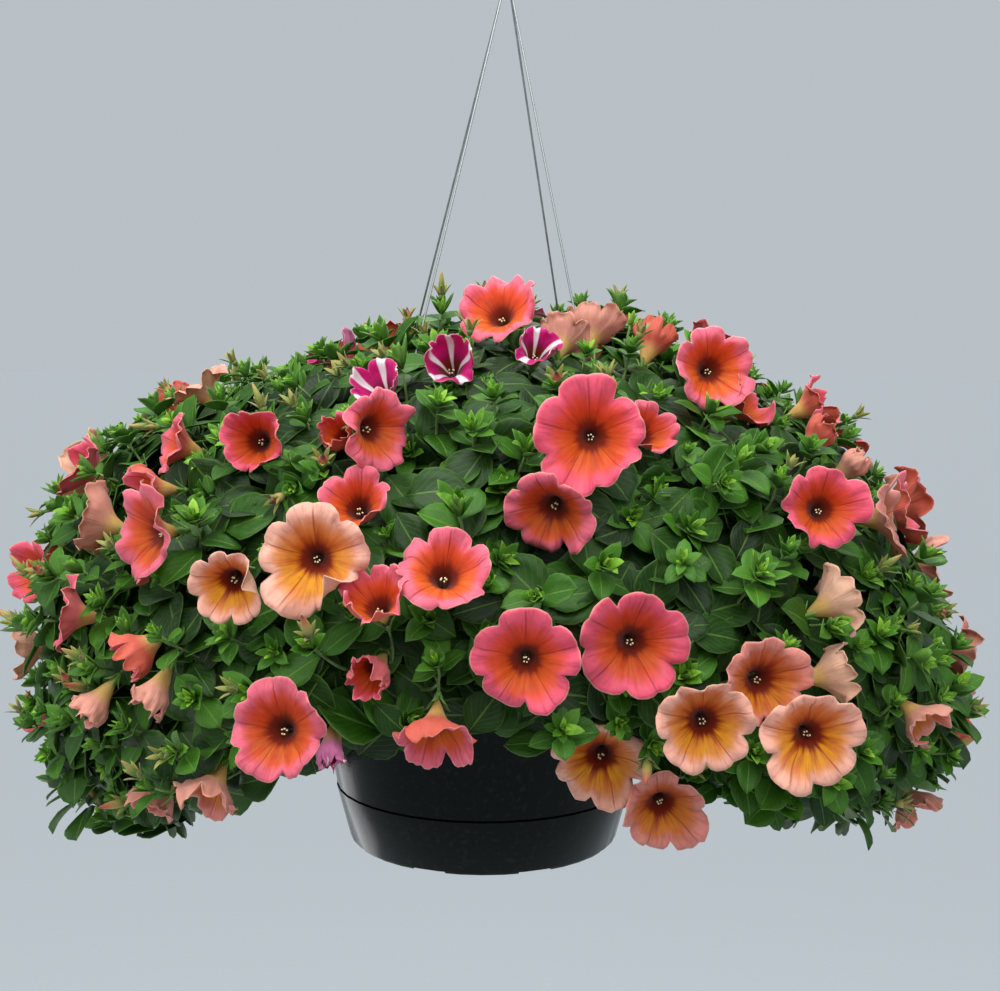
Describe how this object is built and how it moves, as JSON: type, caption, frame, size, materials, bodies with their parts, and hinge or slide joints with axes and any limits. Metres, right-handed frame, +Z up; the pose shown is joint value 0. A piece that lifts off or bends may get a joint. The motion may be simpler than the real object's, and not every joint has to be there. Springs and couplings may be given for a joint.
{
  "type": "petunia hanging basket",
  "caption": "Round plastic hanging pot with a clipped saucer, hung by wires from a hook and covered by a wide dome of petunia leaves and blooms.",
  "frame": {"origin": "the hanging point: the underside of the hook's arch, where it bears on whatever it hangs from", "axes": "+Z up; the side that faces a viewer is -Y; +X is to that viewer's right"},
  "size_m": [0.6088, 0.594, 0.6183],
  "materials": {
    "pot_plastic": "moulded polypropylene, near-black green, semi-gloss with faint flow marks and dust",
    "saucer_plastic": "the same moulded polypropylene as the pot, semi-gloss",
    "potting_mix": "damp peat and composted bark, crumbly and matte",
    "galvanised_wire": "drawn galvanised steel wire, dull grey",
    "galvanised_hook": "thicker galvanised steel wire, dull grey",
    "ferrule_aluminium": "pressed sleeve, satin",
    "stem": "soft green shoot, finely hairy",
    "leaf": "soft, slightly sticky leaf with a pale midrib, satin",
    "petal_coral": "thin coral petal with dark veins and an orange throat",
    "petal_rose": "thin pink-red petal with an orange-red centre",
    "petal_peach": "thin peach petal with a yellow-orange centre and maroon throat",
    "petal_salmon": "thin dusky salmon petal, older bloom",
    "petal_star": "thin magenta petal with a white star"
  },
  "bodies": {
    "root": {"pot": "pot_plastic", "drip_saucer": "saucer_plastic", "soil": "potting_mix", "hanger_wire_front_left": "galvanised_wire", "hanger_wire_front_right": "galvanised_wire", "hanger_wire_rear_left": "galvanised_wire", "hanger_wire_rear_right": "galvanised_wire", "hanger_hook": "galvanised_hook", "hanger_ferrule": "ferrule_aluminium", "stems_front": "stem", "stems_left": "stem", "stems_back": "stem", "stems_right": "stem", "leaves_crown_front": "leaf", "leaves_crown_left": "leaf", "leaves_crown_back": "leaf", "leaves_crown_right": "leaf", "leaves_skirt_right": "leaf", "leaves_skirt_back_right": "leaf", "leaves_skirt_back": "leaf", "leaves_skirt_back_left": "leaf", "leaves_skirt_left": "leaf", "leaves_skirt_front_left": "leaf", "leaves_skirt_front": "leaf", "leaves_skirt_front_right": "leaf", "bloom_01": "petal_coral", "bloom_02": "petal_star", "bloom_03": "petal_coral", "bloom_04": "petal_coral", "bloom_05": "petal_rose", "bloom_06": "petal_rose", "bloom_07": "petal_coral", "bloom_08": "petal_rose", "bloom_09": "petal_salmon", "bloom_10": "petal_salmon", "bloom_11": "petal_coral", "bloom_12": "petal_coral", "bloom_13": "petal_peach", "bloom_14": "petal_peach", "bloom_15": "petal_rose", "bloom_16": "petal_rose", "bloom_17": "petal_rose", "bloom_18": "petal_salmon", "bloom_19": "petal_peach", "bloom_20": "petal_coral", "bloom_21": "petal_coral", "bloom_22": "petal_peach", "bloom_23": "petal_peach", "bloom_24": "petal_salmon", "bloom_25": "petal_salmon", "bloom_26": "petal_salmon", "bloom_27": "petal_salmon", "bloom_28": "petal_coral", "bloom_29": "petal_peach", "bloom_30": "petal_rose", "bloom_31": "petal_coral", "bloom_32": "petal_peach", "bloom_33": "petal_salmon", "bloom_34": "petal_coral", "bloom_35": "petal_peach"}
  },
  "joints": []
}
